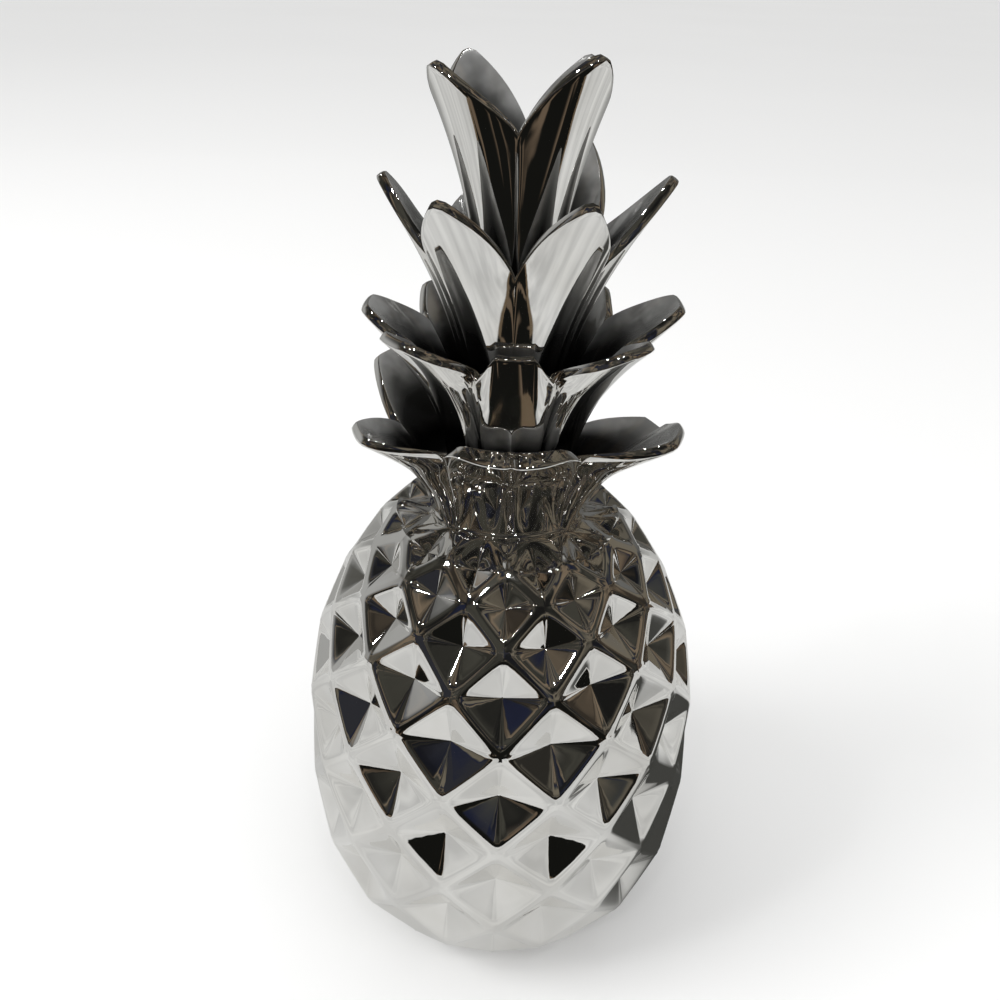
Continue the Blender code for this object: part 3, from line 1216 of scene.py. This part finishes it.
@dataclass(frozen=True)
class Lamp:
    """A square soft light: its place, the length of its side and its power in watts."""

    name: str
    place: Triple
    size: float
    power: float
    mirrored: bool = False

    def hang(self, target: Vector) -> None:
        """Hangs the lamp, which the camera doesn't see.

        Args:
            target: The place that it faces.
        """
        data = bpy.data.lights.new(self.name, "AREA")
        data.energy = self.power
        data.size = self.size
        lamp = bpy.data.objects.new(self.name, data)
        bpy.context.scene.collection.objects.link(lamp)
        lamp.location = self.place
        lamp.rotation_euler = (target - lamp.location).to_track_quat("-Z", "Y").to_euler()
        lamp.visible_camera = False
        lamp.visible_glossy = self.mirrored


@dataclass
class Studio:
    """Floor, light and camera, and the table and dark room that only the mirror sees.

    distance and height of the camera and aim_height of the lamps are shares of the unit, and
    the other lengths are in metres. table_near and table_far are the table's left front and
    right back corners. The room is a patchwork of colours, softly shaded in places, over a
    dark floor with pale patches. An edge gives the two values between which a part of the
    room sets in: of its noise, or of the direction that is looked in. glints holds the turn
    and the rise of each small lamp that the silver shows, in radians.
    """

    unit: float
    floor_size: float = 24.0
    table_near: Flat = (-1.1, -0.375)
    table_far: Flat = (0.80, 1.4)
    distance: float = 4.281
    height: float = 4.867
    pitch: float = math.radians(23.85)
    roll: float = math.radians(2.207)
    turn: float = math.radians(-0.55)
    focal_length: float = 36.0
    sensor: float = 36.0
    shift: Flat = (-0.0127, -0.1163)
    room: tuple[Colour, ...] = (
        (0.007, 0.007, 0.007, 1.0), (0.052, 0.050, 0.041, 1.0), (0.026, 0.025, 0.021, 1.0),
        (0.070, 0.068, 0.058, 1.0), (0.190, 0.145, 0.100, 1.0), (0.034, 0.033, 0.028, 1.0),
        (0.012, 0.015, 0.035, 1.0), (0.050, 0.050, 0.044, 1.0), (0.150, 0.130, 0.098, 1.0),
    )
    room_scale: float = 2.6
    room_blur: float = 0.35
    room_bend: float = 0.35
    room_bend_scale: float = 2.4
    room_shade_scale: float = 3.2
    room_shade_detail: float = 3.0
    room_shade_edge: Flat = (0.50, 0.62)
    room_shade_share: float = 0.8
    lamps: tuple[Lamp, ...] = (
        Lamp("key_light", (-1.5, -0.5, 1.5), 0.9, 20.0),
        Lamp("fill_light", (1.0, -1.2, 1.4), 1.2, 5.0),
    )
    aim_height: float = 2.2
    glints: tuple[Flat, ...] = (
        (math.radians(-19), math.radians(53)), (math.radians(-62), math.radians(50)),
        (math.radians(14), math.radians(60)),
    )
    glint_distance: float = 2.2
    glint_size: float = 0.08
    glint_power: float = 1.2
    room_floor: Colour = (0.007, 0.007, 0.006, 1.0)
    horizon: Flat = (-0.12, -0.02)
    floor_patch: Colour = (0.13, 0.095, 0.065, 1.0)
    floor_patch_scale: float = 5.5
    floor_patch_detail: float = 1.0
    floor_patch_edge: Flat = (0.57, 0.67)
    floor_patch_gap: Flat = (0.1, 0.2)
    wall_top: Flat = (0.30, 0.80)
    back_wall: Colour = (0.13, 0.13, 0.125, 1.0)
    back_wall_edge: Flat = (0.45, 0.85)
    left_wall: Colour = (0.36, 0.36, 0.35, 1.0)
    left_wall_way: Flat = (-0.87, 0.5)
    left_wall_edge: Flat = (0.70, 0.97)
    surround: Colour = (0.9, 0.9, 0.9, 1.0)

    @staticmethod
    def show(thing: bpy.types.Object, seen: Seen) -> None:
        """Lets only one kind of ray meet a thing.

        Args:
            thing: The object.
            seen: The rays that meet it.
        """
        by_camera = seen is Seen.BY_CAMERA
        thing.visible_camera = thing.visible_diffuse = thing.visible_shadow = by_camera
        thing.visible_glossy = not by_camera

    @staticmethod
    def sheet(
        name: str, near: Flat, far: Flat, finish: PaleFloor | TableTop
    ) -> bpy.types.Object:
        """Adds a level rectangle under the ornament.

        Args:
            name: The object's name.
            near: Its left front corner.
            far: Its right back corner.
            finish: The finish that dresses it.

        Returns:
            The rectangle's object.
        """
        Bench.clear_selection()
        bpy.ops.mesh.primitive_plane_add(
            size=1.0, location=((near[0] + far[0]) / 2.0, (near[1] + far[1]) / 2.0, 0.0),
            scale=(1.0, 1.0, 1.0)
        )
        made = bpy.context.object
        made.scale = (far[0] - near[0], far[1] - near[1], 1.0)
        made.name = name
        bpy.ops.object.transform_apply()
        made.data.materials.append(finish.material())
        return made

    def add_world(self) -> None:
        """Makes the soft white surround and the dark room that only the mirror sees."""
        world = bpy.data.worlds.new("studio")
        bpy.context.scene.world = world
        world.use_nodes = True
        graph = Graph(world.node_tree)
        way = graph.node("ShaderNodeTexCoord").outputs["Generated"]
        right, back, up = graph.axes(way)
        drift = graph.node(
            "ShaderNodeTexNoise", {}, {"Vector": way, "Scale": self.room_bend_scale}
        )
        bent = graph.node(
            "ShaderNodeVectorMath", {"operation": "MULTIPLY_ADD"},
            {0: drift.outputs["Color"], 1: (self.room_bend,) * 3, 2: way}
        )
        cells = graph.node(
            "ShaderNodeTexVoronoi", {"feature": "SMOOTH_F1", "distance": "CHEBYCHEV"},
            {"Vector": bent.outputs[0], "Scale": self.room_scale, "Smoothness": self.room_blur}
        )
        tone = graph.node("ShaderNodeSeparateColor", {}, {"Color": cells.outputs["Color"]})
        stops = [(number / len(self.room), tint) for number, tint in enumerate(self.room)]
        room = graph.ramp(Number(graph, tone.outputs[0]), stops)
        shade = graph.noise(way, self.room_shade_scale, self.room_shade_detail)
        shade = graph.rise(shade, *self.room_shade_edge)
        room = graph.blend(shade * self.room_shade_share, room, self.room[0])
        patches = graph.noise(way, self.floor_patch_scale, self.floor_patch_detail)
        patches = graph.rise(patches, *self.floor_patch_edge)
        patches *= graph.rise(right * right, *(end ** 2 for end in self.floor_patch_gap))
        ground = graph.blend(patches, self.room_floor, self.floor_patch)
        room = graph.blend(1.0 - graph.rise(up, *self.horizon), room, ground)
        low = 1.0 - graph.rise(up, *self.wall_top)
        room = graph.blend(graph.rise(back, *self.back_wall_edge) * low, room, self.back_wall)
        leftwards = right * self.left_wall_way[0] + back * self.left_wall_way[1]
        left = graph.rise(leftwards, *self.left_wall_edge)
        room = graph.blend(left * low, room, self.left_wall)
        rays = graph.node("ShaderNodeLightPath")
        pale = graph.node("ShaderNodeBackground", {}, {"Color": self.surround})
        dark = graph.node("ShaderNodeBackground", {}, {"Color": room})
        light = graph.node(
            "ShaderNodeMixShader", {},
            {0: rays.outputs["Is Glossy Ray"], 1: pale.outputs[0], 2: dark.outputs[0]}
        )
        graph.node("ShaderNodeOutputWorld", {}, {"Surface": light.outputs[0]})

    def add_camera(self) -> None:
        """Puts the camera where the photograph was taken from."""
        data = bpy.data.cameras.new("camera")
        data.sensor_width = self.sensor
        data.lens = self.focal_length
        data.shift_x, data.shift_y = self.shift
        camera = bpy.data.objects.new("camera", data)
        bpy.context.scene.collection.objects.link(camera)
        place = Vector((0.0, -self.distance, self.height)) * self.unit
        tilt = Matrix.Rotation(math.pi / 2.0 - self.pitch, 4, "X")
        lean = Matrix.Rotation(self.roll, 4, "Z")
        aside = Matrix.Rotation(self.turn, 4, "Z")
        camera.matrix_world = aside @ Matrix.Translation(place) @ tilt @ lean
        bpy.context.scene.camera = camera

    def build(self) -> None:
        """Sets up the whole studio."""
        half = self.floor_size / 2.0
        floor = self.sheet("floor", (-half, -half), (half, half), PaleFloor())
        self.show(floor, Seen.BY_CAMERA)
        table = self.sheet("table", self.table_near, self.table_far, TableTop())
        self.show(table, Seen.BY_MIRROR)
        target = Vector((0.0, 0.0, self.aim_height * self.unit))
        for lamp in self.lamps:
            lamp.hang(target)
        for turn, rise in self.glints:
            place = around(math.cos(rise), turn, math.sin(rise)) * self.glint_distance
            Lamp("glint_light", tuple(place), self.glint_size, self.glint_power, True).hang(target)
        self.add_world()
        self.add_camera()
        bpy.context.scene.view_settings.view_transform = "Standard"


def main() -> None:
    """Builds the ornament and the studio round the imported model."""
    logging.basicConfig(level=logging.INFO, format="%(name)s %(message)s")
    low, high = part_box(NODE)
    unit = (high.x - low.x) / 2.0 / Fruit.half_width
    LOG.info("unit: %.5f m, from a width of %.4f m", unit, high.x - low.x)
    Ornament(unit).build()
    Studio(unit).build()


if __name__ == "__main__":
    main()
